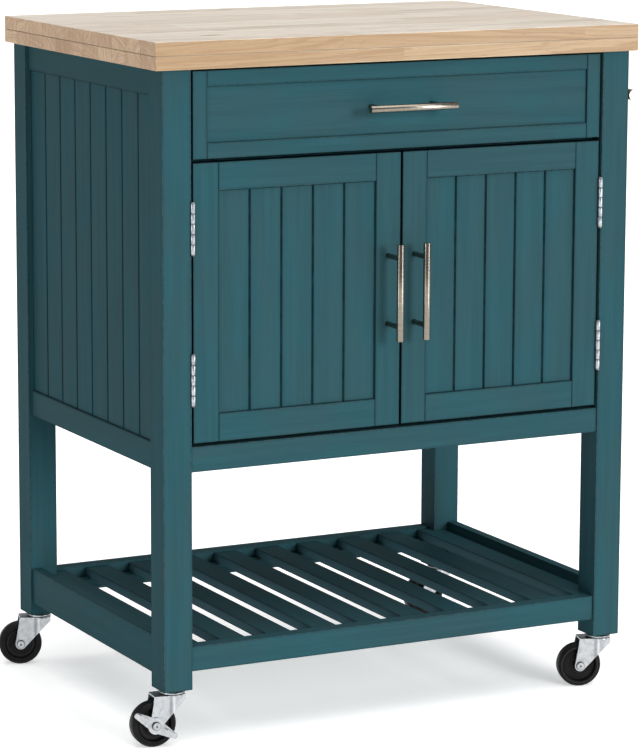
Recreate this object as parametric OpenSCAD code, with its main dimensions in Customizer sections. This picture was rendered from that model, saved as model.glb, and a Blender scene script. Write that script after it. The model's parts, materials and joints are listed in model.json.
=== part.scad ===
// Kitchen island cart: a butcher-block worktop on a painted leg frame, with one
// drawer, two hinged doors, a slatted lower shelf, a towel bar and four swivel
// casters. +Z is up, the doors face -Y and the towel bar is on the +X side.
// The origin is on the floor, under the centre of the cart's bounding box.
// Inside the modules, X and Y are measured from the centre of the worktop.

/* [Overall] */
// Width of the worktop, left to right
cart_w = 710; // [600:5:900]
// Depth of the worktop, front to back
cart_d = 500; // [400:5:640]
// Height of the worktop's upper face above the floor
cart_h = 914; // [800:2:1120]

/* [Worktop] */
// Thickness of each of the two worktop boards
board_t = 18; // [12:1:25]
// How far the worktop overhangs the legs at each side
side_overhang = 11; // [2:1:25]
// How far the worktop overhangs the legs at front and back
end_overhang = 6; // [2:1:25]

/* [Legs and rails] */
// Side of the square legs
leg = 40; // [32:1:50]
// Thickness of the side and back rails
rail_t = 18; // [12:1:20]
// Height of the side and back rails
rail_h = 35; // [25:1:50]
// How far the side and back rails stand behind the legs' outer faces
rail_recess = 5; // [2:1:8]
// Height of the cabinet's underside above the floor
cabinet_z = 361; // [300:1:420]
// Height of the rail under the doors
front_rail_h = 33; // [25:1:45]
// How far the rail under the doors stands behind the leg fronts
front_rail_recess = 2; // [0:1:6]

/* [Beadboard] */
// Thickness of the side and back panels
panel_t = 12; // [9:1:14]
// How far the side and back panels stand behind the legs' outer faces
panel_recess = 8; // [6:1:10]
// Boards across each side panel
side_boards = 8; // [4:1:12]
// Boards across the back panel
back_boards = 12; // [6:1:16]
// Boards across each door panel
door_boards = 5; // [3:1:8]
// Width of the grooves between boards
groove_w = 4; // [2:0.5:6]
// Depth of the grooves between boards
groove_depth = 2.5; // [1:0.5:4]

/* [Doors and drawer] */
// How far the doors and drawer stand behind the leg fronts
face_recess = 2; // [2:1:5]
// Thickness of the doors and the drawer front
door_t = 19; // [16:1:25]
// Width of the doors' stiles and rails
stile_w = 36; // [28:1:50]
// How far the door panels stand behind the stiles
door_panel_recess = 3.5; // [2:0.5:8]
// Thickness of the door panels
door_panel_t = 9; // [6:1:10]
// Gap between a door's or the drawer's edge and the leg
edge_gap = 3.5; // [3.5:0.5:6]
// Gap between the two doors
meeting_gap = 3; // [2:0.5:6]
// Gap between a door and the rail or drawer above or below it
door_gap = 4.5; // [3:0.5:8]
// Height of the drawer front
drawer_h = 112; // [95:1:150]
// Gap between the drawer front and the worktop
drawer_top_gap = 2.5; // [2:0.5:5]
// Width of the border around the drawer front
border_w = 20; // [14:1:26]
// How far the drawer's inner panel stands behind its border
drawer_panel_recess = 3; // [1:0.5:5]
// Thickness of the drawer's inner panel
drawer_panel_t = 12; // [6:1:14]

/* [Drawer box] */
// Depth of the drawer box, front to back
box_depth = 400; // [300:5:410]
// Thickness of the drawer box boards
box_t = 12; // [9:1:15]
// Thickness of the drawer bottom
bottom_t = 5; // [3:1:9]
// Room for one slide at each side of the drawer box
slide_space = 12.7; // [12.5:0.1:14]
// Height of the drawer slides
slide_h = 45; // [35:1:46]
// Length of the drawer slides
slide_len = 350; // [250:50:350]

/* [Pulls and towel bar] */
// Length of the bar pulls
pull_len = 127; // [110:1:170]
// Distance between a pull's two posts
pull_centres = 90; // [64:1:96]
// Diameter of the bar pulls
pull_d = 9.5; // [7:0.5:12]
// Diameter of the pulls' posts
post_d = 7; // [5:0.5:8]
// Distance from the door face to the pull bar's axis
pull_reach = 34; // [26:1:42]
// Length of the towel bar
towel_len = 420; // [400:5:480]
// Diameter of the towel bar
towel_d = 14.5; // [10:0.5:18]
// Distance from the leg's outer face to the towel bar's axis
towel_reach = 31; // [24:1:50]
// Height of the towel bar's axis below the worktop
towel_drop = 64; // [50:1:90]
// Diameter of the towel bar's posts
towel_post_d = 10; // [7:0.5:12]

/* [Hinges] */
// Height of each hinge
hinge_h = 66; // [50:1:80]
// Diameter of the hinge barrels
barrel_d = 6; // [5:0.5:7]
// Diameter of the hinge pins
hinge_pin_d = 3; // [2:0.5:3.5]
// Thickness of the hinge leaves
leaf_t = 1.2; // [1:0.1:1.6]
// Width of the hinge leaves, from the pin
leaf_w = 20; // [15:1:20]
// Distance from the end of a door to the nearest hinge
hinge_inset = 50; // [30:1:70]

/* [Lower shelf] */
// Height of the front and back aprons' lower edge above the floor
apron_z = 98; // [95:1:130]
// Height of the front apron
apron_h = 33; // [28:1:50]
// How far the back apron stands above the slats
back_lip = 3; // [0:1:10]
// Thickness of the front and back aprons
apron_t = 20; // [14:1:25]
// How far the aprons stand behind the legs' outer faces
apron_recess = 3; // [0:1:6]
// How far the side aprons hang below the front apron
side_apron_drop = 6; // [0:1:10]
// How far the side aprons stand above the slats
side_apron_lip = 11; // [0:1:25]
// Thickness of the side aprons
side_apron_t = 14; // [12:1:20]
// Slats across the lower shelf
slat_count = 10; // [7:1:11]
// Width of a slat
slat_w = 36; // [28:1:44]
// Thickness of a slat
slat_t = 13; // [9:1:16]
// Gap between the outer slats and the side aprons
slat_end_gap = 6; // [3:1:20]
// Height of the cleats that carry the slats
cleat_h = 12; // [8:1:14]
// Depth of the cleats that carry the slats
cleat_d = 18; // [12:1:30]

/* [Inner shelf] */
// Thickness of the shelf inside the cabinet
shelf_t = 15; // [12:1:20]
// Height of the shelf above the cabinet floor
shelf_rise = 165; // [100:5:220]
// Diameter of the shelf pins
shelf_pin_d = 5; // [4:0.5:7]

/* [Casters] */
// Diameter of the wheels
wheel_d = 60; // [50:1:75]
// Width of the wheels' tread
wheel_w = 18; // [16:1:26]
// Distance from the swivel axis to the axle
trail = 27; // [20:1:32]
// Diameter of the axles
axle_d = 8; // [6:0.5:9]
// Thickness of the fork's sheet metal
fork_t = 2; // [1.5:0.1:2.5]
// Diameter of the cap above the fork
cap_d = 34; // [32:1:40]
// Diameter of the stems in the legs
stem_d = 10; // [8:1:12]
// Length of the stems in the legs
stem_len = 30; // [20:1:45]
// Turn of the front left caster
fl_turn = -5; // [-90:1:90]
// Turn of the front right caster
fr_turn = -18; // [-30:1:30]
// Turn of the back left caster
bl_turn = -18; // [-30:1:30]
// Turn of the back right caster
br_turn = 0; // [-30:1:30]
// Tilt of the brake levers when the wheel runs free
lever_tilt = 32; // [30:1:35]

/* [Hidden] */
$fn = 64;

paint = [0.20, 0.37, 0.41];
wood = [0.86, 0.72, 0.53];
box_wood = [0.80, 0.68, 0.50];
nickel = [0.72, 0.70, 0.67];
zinc = [0.80, 0.82, 0.84];
black = [0.08, 0.08, 0.09];

// Running clearance of a pin in its bore, on the radius
fit = 0.05;
// Cuts run this far past a face
past = 1;
// Hairline left at a glued joint, so that its two pieces stay apart
seam = 0.1;

// Leg frame
frame_x = cart_w / 2 - side_overhang;
frame_y = cart_d / 2 - end_overhang;
frame_top = cart_h - 2 * board_t;
leg_x = frame_x - leg / 2;
leg_y = frame_y - leg / 2;
inner_x = frame_x - leg;
inner_y = frame_y - leg;

// Casters
wheel_r = wheel_d / 2;
tread_r = 2.5;
cap_h = 5.5;
swivel_gap = 0.5;
head_h = 2.5;
wheel_clear = 3.5;
fork_top = wheel_d + wheel_clear + head_h + swivel_gap + fork_t;
caster_h = fork_top + swivel_gap + cap_h;
hub_gap = 0.5;
side_clear = 2;
fork_in = wheel_w / 2 + side_clear;
fork_out = fork_in + fork_t;
fork_end_r = 7.5;
axle_head_d = 11;
axle_head_h = 2.5;
lever_t = 1.6;
lever_gap = 0.4;
lever_y = fork_out + lever_gap;

// Doors and drawer
face_y = -(frame_y - face_recess);
door_back_y = face_y + door_t;
front_rail_y = -(frame_y - front_rail_recess);
door_z = cabinet_z + front_rail_h + door_gap;
drawer_top = frame_top - drawer_top_gap;
drawer_z = drawer_top - drawer_h;
door_top = drawer_z - door_gap;
door_edge_x = inner_x - edge_gap;
door_meet_x = meeting_gap / 2;
door_w = door_edge_x - door_meet_x;
rest_gap = 1;

// Hinges
barrel_r = barrel_d / 2;
pivot_x = inner_x - edge_gap / 2;
pivot_y = face_y - barrel_r;
hinge_zs = [door_z + hinge_inset, door_top - hinge_inset - hinge_h];
knuckles = 5;
knuckle_h = hinge_h / knuckles;
knuckle_gap = 0.4;
relief = 0.4;

// Side and back walls
rail_out_x = frame_x - rail_recess;
rail_in_x = rail_out_x - rail_t;
panel_out_x = frame_x - panel_recess;
panel_in_x = panel_out_x - panel_t;
rail_out_y = frame_y - rail_recess;
rail_in_y = rail_out_y - rail_t;
panel_out_y = frame_y - panel_recess;
panel_z = cabinet_z + rail_h;
panel_top = frame_top - rail_h;

// Cabinet inside
floor_t = 12;
floor_top = cabinet_z + front_rail_h;
divider_h = 20;
divider_top = drawer_z + 2;
divider_d = 40;
stretcher_t = 18;
stretcher_d = 50;
shelf_z = floor_top + shelf_rise;
shelf_clear = 2;
shelf_pin_y = 2.5 * (2 * inner_y) / side_boards;
shelf_pin_in = 8;
shelf_pin_out = 12;
catch_h = 14;
catch_w = 30;
catch_d = 28;
catch_x = 12;
strike_t = 1.2;
strike_gap = 0.6;

// Drawer box and slides
box_x = inner_x - slide_space;
box_z = drawer_z + 8;
box_top = drawer_top - 28;
bottom_rise = 5;
slide_mid_z = (box_z + box_top) / 2;
slide_web = 1.2;
slide_play = 0.8;
cleat_over = 3;

// Lower shelf
slat_top = apron_z + apron_h;
slat_z = slat_top - slat_t;
apron_out_y = frame_y - apron_recess;
apron_in_y = apron_out_y - apron_t;
apron_out_x = frame_x - apron_recess;
apron_in_x = apron_out_x - side_apron_t;
slat_pitch = (2 * (apron_in_x - slat_end_gap) - slat_w) / (slat_count - 1);
leg_clear = 0.5;

// Towel bar
towel_x = frame_x + towel_reach;
towel_z = frame_top - towel_drop;
towel_post_y = 3.5 * (2 * inner_y) / side_boards;
rosette_d = 20;
rosette_t = 3;

// Centre of the bounding box, from the worktop's centre
function swing_reach(turn) =
    leg_x + (trail + wheel_r) * cos(turn) + (wheel_w / 2 - tread_r) * abs(sin(turn));
left_reach = max(swing_reach(fl_turn), swing_reach(bl_turn), cart_w / 2);
right_reach = max(towel_x + towel_d / 2, cart_w / 2);
front_reach = max(-face_y + pull_reach + pull_d / 2, cart_d / 2);
back_reach = cart_d / 2;
origin_x = (left_reach - right_reach) / 2;
origin_y = (front_reach - back_reach) / 2;

// ---- Shared shapes ----

// Moves from the worktop's centre to the cart's own origin
module on_cart() translate([origin_x, origin_y, 0]) children();

// A box from its low and high X, Y and Z
module block(x, y, z) {
    translate([x[0], y[0], z[0]])
        cube([x[1] - x[0], y[1] - y[0], z[1] - z[0]]);
}

// The same shape on the left and, mirrored, on the right
module both_sides() {
    children();
    mirror([1, 0, 0]) children();
}

module on_side(side) {
    mirror([side > 0 ? 1 : 0, 0, 0]) children();
}

// A board standing in the XZ plane with its face at y = 0 and V-grooves in it
module beadboard(w, h, t, boards) {
    pitch = w / boards;
    difference() {
        block([-w / 2, w / 2], [0, t], [0, h]);
        for (i = [1 : boards - 1])
            translate([-w / 2 + i * pitch, 0, -past])
                linear_extrude(h + 2 * past)
                    polygon([[-groove_w / 2 - past * groove_w / 2 / groove_depth, -past],
                             [groove_w / 2 + past * groove_w / 2 / groove_depth, -past],
                             [0, groove_depth]]);
    }
}

// ---- Worktop ----

module worktop_board(z) {
    on_cart()
        block([-cart_w / 2, cart_w / 2], [-cart_d / 2, cart_d / 2], [z, z + board_t]);
}

module worktop_upper_board() {
    color(wood) worktop_board(cart_h - board_t);
}

module worktop_lower_board() {
    color(wood) worktop_board(frame_top);
}

// ---- Leg frame ----

// A leg with the stem's bore, and reliefs round the hinge barrels at the front
module leg_post(side, end) {
    color(paint) on_cart()
        difference() {
            translate([side * leg_x - leg / 2, end * leg_y - leg / 2, caster_h])
                cube([leg, leg, frame_top - caster_h]);
            translate([side * leg_x, end * leg_y, caster_h - past])
                cylinder(d = stem_d + 2 * fit, h = stem_len + 2 * past);
            if (end < 0)
                for (z = hinge_zs)
                    translate([side * pivot_x, pivot_y, z - 2 * past])
                        cylinder(r = barrel_r + relief, h = hinge_h + 4 * past);
        }
}

module front_left_leg() leg_post(-1, -1);
module front_right_leg() leg_post(1, -1);
module back_left_leg() leg_post(-1, 1);
module back_right_leg() leg_post(1, 1);

module side_panel(side) {
    color(paint) on_cart() on_side(side)
        difference() {
            translate([-panel_out_x, 0, panel_z]) rotate([0, 0, -90])
                beadboard(2 * inner_y, panel_top - panel_z, panel_t, side_boards);
            for (end = [-1, 1])
                translate([-panel_in_x + past, end * shelf_pin_y, shelf_z - shelf_pin_d / 2])
                    rotate([0, -90, 0])
                        cylinder(d = shelf_pin_d + 2 * fit, h = shelf_pin_in + past);
        }
}

module left_side_panel() side_panel(-1);
module right_side_panel() side_panel(1);

module side_rails(z) {
    color(paint) on_cart() both_sides()
        block([-rail_out_x, -rail_in_x], [-inner_y, inner_y], [z, z + rail_h]);
}

module side_top_rails() side_rails(panel_top);
module side_bottom_rails() side_rails(cabinet_z);

module back_panel() {
    color(paint) on_cart()
        translate([0, panel_out_y, panel_z]) rotate([0, 0, 180])
            beadboard(2 * inner_x, panel_top - panel_z, panel_t, back_boards);
}

module back_rails() {
    color(paint) on_cart()
        for (z = [cabinet_z, panel_top])
            block([-inner_x, inner_x], [rail_in_y, rail_out_y], [z, z + rail_h]);
}

module front_bottom_rail() {
    color(paint) on_cart()
        block([-inner_x, inner_x], [front_rail_y, front_rail_y + rail_t],
              [cabinet_z, floor_top]);
}

module cabinet_floor() {
    color(paint) on_cart()
        difference() {
            block([-rail_in_x, rail_in_x], [front_rail_y + rail_t, rail_in_y],
                  [floor_top - floor_t, floor_top]);
            both_sides()
                for (y = [-frame_y, inner_y])
                    block([-frame_x, -inner_x], [y, y + leg],
                          [floor_top - floor_t - past, floor_top + past]);
        }
}

// The rail behind the gap between the doors and the drawer
module divider_rail() {
    color(paint) on_cart()
        block([-inner_x, inner_x],
              [door_back_y + rest_gap, door_back_y + rest_gap + divider_d],
              [divider_top - divider_h, divider_top]);
}

module top_stretchers() {
    color(paint) on_cart()
        for (y = [door_back_y + rest_gap, rail_in_y - stretcher_d])
            block([-inner_x, inner_x], [y, y + stretcher_d],
                  [frame_top - stretcher_t, frame_top]);
}

module inner_shelf() {
    color(paint) on_cart()
        block([-panel_in_x + shelf_clear, panel_in_x - shelf_clear],
              [-inner_y + shelf_clear, inner_y - shelf_clear],
              [shelf_z, shelf_z + shelf_t]);
}

module shelf_pins() {
    color(zinc) on_cart() both_sides()
        for (end = [-1, 1])
            translate([-panel_in_x - shelf_pin_in, end * shelf_pin_y,
                       shelf_z - shelf_pin_d / 2])
                rotate([0, 90, 0])
                    cylinder(d = shelf_pin_d, h = shelf_pin_in + shelf_pin_out);
}

// ---- Lower shelf ----

module front_apron() {
    color(paint) on_cart()
        block([-inner_x, inner_x], [-apron_out_y, -apron_in_y], [apron_z, slat_top]);
}

module back_apron() {
    color(paint) on_cart()
        block([-inner_x, inner_x], [apron_in_y, apron_out_y],
              [apron_z, slat_top + back_lip]);
}

module side_aprons() {
    color(paint) on_cart() both_sides()
        block([-apron_out_x, -apron_in_x], [-inner_y, inner_y],
              [apron_z - side_apron_drop, slat_top + side_apron_lip]);
}

// Slats from front to back; the outer ones are notched round the legs
module shelf_slats() {
    color(paint) on_cart()
        difference() {
            for (i = [0 : slat_count - 1])
                translate([(i - (slat_count - 1) / 2) * slat_pitch - slat_w / 2,
                           -apron_in_y, slat_z])
                    cube([slat_w, 2 * apron_in_y, slat_t]);
            both_sides()
                for (y = [-frame_y - leg_clear, inner_y - leg_clear])
                    block([-frame_x, -inner_x + leg_clear], [y, y + leg + 2 * leg_clear],
                          [slat_z - past, slat_top + past]);
        }
}

module slat_cleats() {
    color(paint) on_cart()
        for (y = [-apron_in_y, apron_in_y - cleat_d])
            block([-inner_x, inner_x], [y, y + cleat_d], [slat_z - cleat_h, slat_z]);
}

// ---- Towel bar ----

// A bar along Y with two posts whose ends fit its round side
module towel_bar() {
    color(nickel) on_cart() {
        translate([towel_x, -towel_len / 2, towel_z]) rotate([-90, 0, 0])
            cylinder(d = towel_d, h = towel_len);
        for (y = [-towel_post_y, towel_post_y])
            difference() {
                translate([panel_out_x, y, towel_z]) rotate([0, 90, 0]) {
                    cylinder(d = towel_post_d, h = towel_x - panel_out_x);
                    cylinder(d = rosette_d, h = rosette_t);
                }
                translate([towel_x, -towel_len / 2, towel_z]) rotate([-90, 0, 0])
                    cylinder(d = towel_d + 2 * seam, h = towel_len);
            }
    }
}

// ---- Drawer ----

module slide_channels() {
    web_x = inner_x - slide_web;
    lip_x = inner_x - slide_space + 3;
    top = slide_mid_z + slide_h / 2;
    low = slide_mid_z - slide_h / 2;
    y = door_back_y + 5;
    color(zinc) on_cart() both_sides()
        translate([0, y + slide_len, 0]) rotate([90, 0, 0])
            linear_extrude(slide_len)
                polygon([[-inner_x, low], [-lip_x, low], [-lip_x, low + slide_web],
                         [-web_x, low + slide_web], [-web_x, top - slide_web],
                         [-lip_x, top - slide_web], [-lip_x, top], [-inner_x, top]]);
}

module runner_cleats() {
    color(box_wood) on_cart() both_sides()
        block([-panel_in_x, -inner_x], [-inner_y, inner_y],
              [slide_mid_z - slide_h / 2 - cleat_over,
               slide_mid_z + slide_h / 2 + cleat_over]);
}

module slide_runners() {
    play = slide_web + slide_play;
    color(zinc) on_cart() both_sides()
        block([-inner_x + play + slide_play, -box_x],
              [door_back_y + 2, door_back_y + 2 + slide_len],
              [slide_mid_z - slide_h / 2 + play, slide_mid_z + slide_h / 2 - play]);
}

// Four bars round an opening: two stiles of full height and two rails between
module front_frame(x, z, bar) {
    for (x0 = [x[0], x[1] - bar])
        block([x0, x0 + bar], [face_y, door_back_y], z);
    for (z0 = [z[0], z[1] - bar])
        block([x[0] + bar + seam, x[1] - bar - seam], [face_y, door_back_y],
              [z0, z0 + bar]);
}

module drawer_front_frame() {
    color(paint) on_cart()
        front_frame([-door_edge_x, door_edge_x], [drawer_z, drawer_top], border_w);
}

module drawer_front_panel() {
    color(paint) on_cart()
        block([-door_edge_x + border_w, door_edge_x - border_w],
              [face_y + drawer_panel_recess, face_y + drawer_panel_recess + drawer_panel_t],
              [drawer_z + border_w, drawer_top - border_w]);
}

module drawer_box() {
    color(box_wood) on_cart() {
        both_sides()
            block([-box_x, -box_x + box_t], [door_back_y, door_back_y + box_depth],
                  [box_z, box_top]);
        for (y = [door_back_y, door_back_y + box_depth - box_t])
            block([-box_x + box_t + seam, box_x - box_t - seam], [y, y + box_t],
                  [box_z, box_top]);
    }
}

module drawer_bottom() {
    color(box_wood) on_cart()
        block([-box_x + box_t, box_x - box_t],
              [door_back_y + box_t, door_back_y + box_depth - box_t],
              [box_z + bottom_rise, box_z + bottom_rise + bottom_t]);
}

// ---- Pulls ----

// A bar along X, centred over the origin, in front of a face at y = 0
module bar_pull() {
    translate([-pull_len / 2, -pull_reach, 0]) rotate([0, 90, 0])
        cylinder(d = pull_d, h = pull_len);
    for (x = [-pull_centres / 2, pull_centres / 2])
        difference() {
            translate([x, 0, 0]) rotate([90, 0, 0])
                cylinder(d = post_d, h = pull_reach);
            translate([-pull_len / 2, -pull_reach, 0]) rotate([0, 90, 0])
                cylinder(d = pull_d + 2 * seam, h = pull_len);
        }
}

module drawer_pull() {
    color(nickel) on_cart()
        translate([0, face_y + drawer_panel_recess, (drawer_z + drawer_top) / 2])
            bar_pull();
}

// ---- Doors ----

module door_frame(side) {
    color(paint) on_cart() on_side(side)
        front_frame([-door_edge_x, -door_meet_x], [door_z, door_top], stile_w);
}

module door_panel(side) {
    y = face_y + door_panel_recess;
    color(paint) on_cart() on_side(side)
        translate([-(door_edge_x + door_meet_x) / 2, y, door_z + stile_w])
            beadboard(door_w - 2 * stile_w, door_top - door_z - 2 * stile_w,
                      door_panel_t, door_boards);
}

module door_pull(side) {
    color(nickel) on_cart() on_side(side)
        translate([-door_meet_x - stile_w / 2, face_y, (door_z + door_top) / 2])
            rotate([0, 90, 0]) bar_pull();
}

module door_strike(side) {
    color(zinc) on_cart() on_side(side)
        block([-catch_x - catch_w + 2, -catch_x - 2], [door_back_y, door_back_y + strike_t],
              [divider_top - divider_h - catch_h + 2, divider_top - divider_h - 2]);
}

// One leaf of a hinge and its knuckles: first is 0 for the leg's, 1 for the door's
module hinge_leaf(first) {
    x = first == 0 ? -inner_x : -door_edge_x - leaf_t;
    bend_y = pivot_y + barrel_r + relief;
    difference() {
        union() {
            block([x, x + leaf_t], [bend_y, pivot_y + leaf_w], [0, hinge_h]);
            for (k = [first : 2 : knuckles - 1]) {
                z = k * knuckle_h + knuckle_gap / 2;
                block([x, x + leaf_t], [pivot_y, bend_y], [z, z + knuckle_h - knuckle_gap]);
                translate([-pivot_x, pivot_y, z])
                    cylinder(d = barrel_d, h = knuckle_h - knuckle_gap);
            }
        }
        translate([-pivot_x, pivot_y, -past])
            cylinder(d = hinge_pin_d + 2 * fit, h = hinge_h + 2 * past);
    }
}

module hinge_leg_leaves() {
    color(zinc) on_cart() both_sides()
        for (z = hinge_zs) translate([0, 0, z]) hinge_leaf(0);
}

module door_hinge_leaves(side) {
    color(zinc) on_cart() on_side(side)
        for (z = hinge_zs) translate([0, 0, z]) hinge_leaf(1);
}

module hinge_pins() {
    color(zinc) on_cart() both_sides()
        for (z = hinge_zs)
            translate([-pivot_x, pivot_y, z]) {
                cylinder(d = hinge_pin_d, h = hinge_h);
                for (end_z = [-1, hinge_h])
                    translate([0, 0, end_z]) cylinder(d = barrel_d - 1, h = 1);
            }
}

module door_catches() {
    y = door_back_y + strike_t + strike_gap;
    color(zinc) on_cart() both_sides()
        block([-catch_x - catch_w, -catch_x], [y, y + catch_d],
              [divider_top - divider_h - catch_h, divider_top - divider_h]);
}

module left_door_frame() door_frame(-1);
module left_door_panel() door_panel(-1);
module left_door_pull() door_pull(-1);
module left_door_hinge_leaves() door_hinge_leaves(-1);
module left_door_strike() door_strike(-1);
module right_door_frame() door_frame(1);
module right_door_panel() door_panel(1);
module right_door_pull() door_pull(1);
module right_door_hinge_leaves() door_hinge_leaves(1);
module right_door_strike() door_strike(1);

// ---- Casters ----

// A caster's own frame: swivel axis at x = 0, axle along Y at x = -trail
module at_caster(side, end, turn) {
    on_cart() translate([side * leg_x, end * leg_y, 0]) rotate([0, 0, turn]) children();
}

// Stem, cap and kingpin in one turned piece, fixed in the leg
module caster_stems() {
    pin_r = 4;
    cap_r = cap_d / 2;
    low = fork_top - fork_t - swivel_gap;
    skirt = fork_top + swivel_gap;
    color(zinc)
        for (side = [-1, 1], end = [-1, 1])
            at_caster(side, end, 0)
                rotate_extrude()
                    polygon([[0, low - head_h], [pin_r + 3.5, low - head_h],
                             [pin_r + 3.5, low], [pin_r, low], [pin_r, skirt + 3.5],
                             [cap_r - 5, skirt + 3.5], [cap_r - 2, skirt + 2],
                             [cap_r - 2, skirt], [cap_r, skirt], [cap_r, skirt + 2.5],
                             [cap_r - 4, caster_h], [stem_d / 2, caster_h],
                             [stem_d / 2, caster_h + stem_len], [0, caster_h + stem_len]]);
}

// Fork pressed from sheet: a round-nosed top plate and two tapering cheeks
module fork(side, end, turn) {
    rear_x = -trail - 1;
    nose_r = cap_d / 2 - 1;
    cheek_x = nose_r - 1;
    nose_z = fork_top - 6;
    waist_x = 5;
    waist_z = fork_top - 16;
    color(zinc) at_caster(side, end, turn)
        difference() {
            union() {
                translate([0, 0, fork_top - fork_t]) linear_extrude(fork_t)
                    hull() {
                        circle(r = nose_r);
                        translate([rear_x, -fork_out]) square([1, 2 * fork_out]);
                    }
                for (y = [-fork_in, fork_out])
                    translate([0, y, 0]) rotate([90, 0, 0]) linear_extrude(fork_t) {
                        hull() {
                            translate([-trail, wheel_r]) circle(r = fork_end_r);
                            translate([rear_x, fork_top - 3]) square([1, 3]);
                            translate([waist_x - 1, waist_z]) square([1, fork_top - waist_z]);
                        }
                        hull() {
                            translate([waist_x - 1, waist_z]) square([1, fork_top - waist_z]);
                            translate([cheek_x - 1, nose_z]) square([1, fork_top - nose_z]);
                        }
                    }
            }
            translate([0, 0, fork_top - fork_t - past])
                cylinder(r = 4 + fit, h = fork_t + 2 * past);
            translate([-trail, fork_out + past, wheel_r]) rotate([90, 0, 0])
                cylinder(d = axle_d, h = 2 * (fork_out + past));
        }
}

// Axle with a round head against each cheek, or outside the brake lever
module axle(side, end, turn, braked) {
    front_y = braked ? lever_y + lever_t + lever_gap : fork_out;
    color(zinc) at_caster(side, end, turn)
        translate([-trail, fork_out + axle_head_h, wheel_r]) rotate([90, 0, 0]) {
            cylinder(d = axle_head_d, h = axle_head_h);
            cylinder(d = axle_d - 2 * fit, h = fork_out + axle_head_h + front_y);
            translate([0, 0, fork_out + axle_head_h + front_y])
                cylinder(d = axle_head_d, h = axle_head_h);
        }
}

// Moulded wheel: rounded tread, recessed faces and a hub that nearly meets the fork
module wheel(side, end, turn) {
    rim_r = wheel_r - 7;
    hub_r = axle_d / 2 + 4.5;
    web = wheel_w / 4;
    hub = fork_in - hub_gap;
    color(black) at_caster(side, end, turn)
        translate([-trail, 0, wheel_r]) rotate([90, 0, 0])
            rotate_extrude()
                polygon([[axle_d / 2, -hub], [hub_r, -hub], [hub_r, -web],
                         [rim_r - 2, -web], [rim_r, -wheel_w / 2],
                         [wheel_r - tread_r, -wheel_w / 2], [wheel_r, -wheel_w / 2 + tread_r],
                         [wheel_r, wheel_w / 2 - tread_r], [wheel_r - tread_r, wheel_w / 2],
                         [rim_r, wheel_w / 2], [rim_r - 2, web],
                         [hub_r, web], [hub_r, hub], [axle_d / 2, hub]]);
}

// Pressed two-winged brake lever with its foot tabs bent outwards
module brake(side, end, turn) {
    wing = 30;
    tab_len = 16;
    tab_d = 7;
    color(zinc) at_caster(side, end, turn)
        translate([-trail, -lever_y, wheel_r]) rotate([0, lever_tilt, 0])
            difference() {
                union() {
                    rotate([90, 0, 0]) linear_extrude(lever_t) {
                        hull() {
                            circle(r = 9);
                            for (x = [-wing, wing]) translate([x, 0]) circle(r = 4);
                        }
                        circle(r = 11);
                    }
                    for (x = [-wing, wing - tab_len])
                        block([x, x + tab_len], [-lever_t - tab_d, -lever_t], [2.4, 4]);
                }
                translate([0, past, 0]) rotate([90, 0, 0])
                    cylinder(d = axle_d, h = lever_t + 2 * past);
            }
}

module front_left_fork() fork(-1, -1, fl_turn);
module front_right_fork() fork(1, -1, fr_turn);
module back_left_fork() fork(-1, 1, bl_turn);
module back_right_fork() fork(1, 1, br_turn);
module front_left_axle() axle(-1, -1, fl_turn, true);
module front_right_axle() axle(1, -1, fr_turn, false);
module back_left_axle() axle(-1, 1, bl_turn, false);
module back_right_axle() axle(1, 1, br_turn, true);
module front_left_wheel() wheel(-1, -1, fl_turn);
module front_right_wheel() wheel(1, -1, fr_turn);
module back_left_wheel() wheel(-1, 1, bl_turn);
module back_right_wheel() wheel(1, 1, br_turn);
module front_left_brake() brake(-1, -1, fl_turn);
module back_right_brake() brake(1, 1, br_turn);

worktop_upper_board();
worktop_lower_board();
front_left_leg();
front_right_leg();
back_left_leg();
back_right_leg();
left_side_panel();
right_side_panel();
side_top_rails();
side_bottom_rails();
back_panel();
back_rails();
cabinet_floor();
front_bottom_rail();
divider_rail();
top_stretchers();
runner_cleats();
inner_shelf();
shelf_pins();
slide_channels();
front_apron();
back_apron();
side_aprons();
shelf_slats();
slat_cleats();
towel_bar();
hinge_leg_leaves();
hinge_pins();
door_catches();
caster_stems();
drawer_front_frame();
drawer_front_panel();
drawer_box();
drawer_bottom();
drawer_pull();
slide_runners();
left_door_frame();
left_door_panel();
left_door_pull();
left_door_hinge_leaves();
left_door_strike();
right_door_frame();
right_door_panel();
right_door_pull();
right_door_hinge_leaves();
right_door_strike();
front_left_fork();
front_right_fork();
back_left_fork();
back_right_fork();
front_left_axle();
front_right_axle();
back_left_axle();
back_right_axle();
front_left_wheel();
front_right_wheel();
back_left_wheel();
back_right_wheel();
front_left_brake();
back_right_brake();
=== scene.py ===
# %% [markdown]
# # A painted kitchen cart, finished in Blender
#
# The cart is already built and packed as a CAD assembly: every leg, rail, slat, hinge
# and wheel is there, in metres, with +Z up and the doors facing -Y. This lesson gives
# it its looks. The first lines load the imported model, and every position that follows
# comes from its boxes, so nothing has to be fitted by eye.

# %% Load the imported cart
import json
import math

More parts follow.
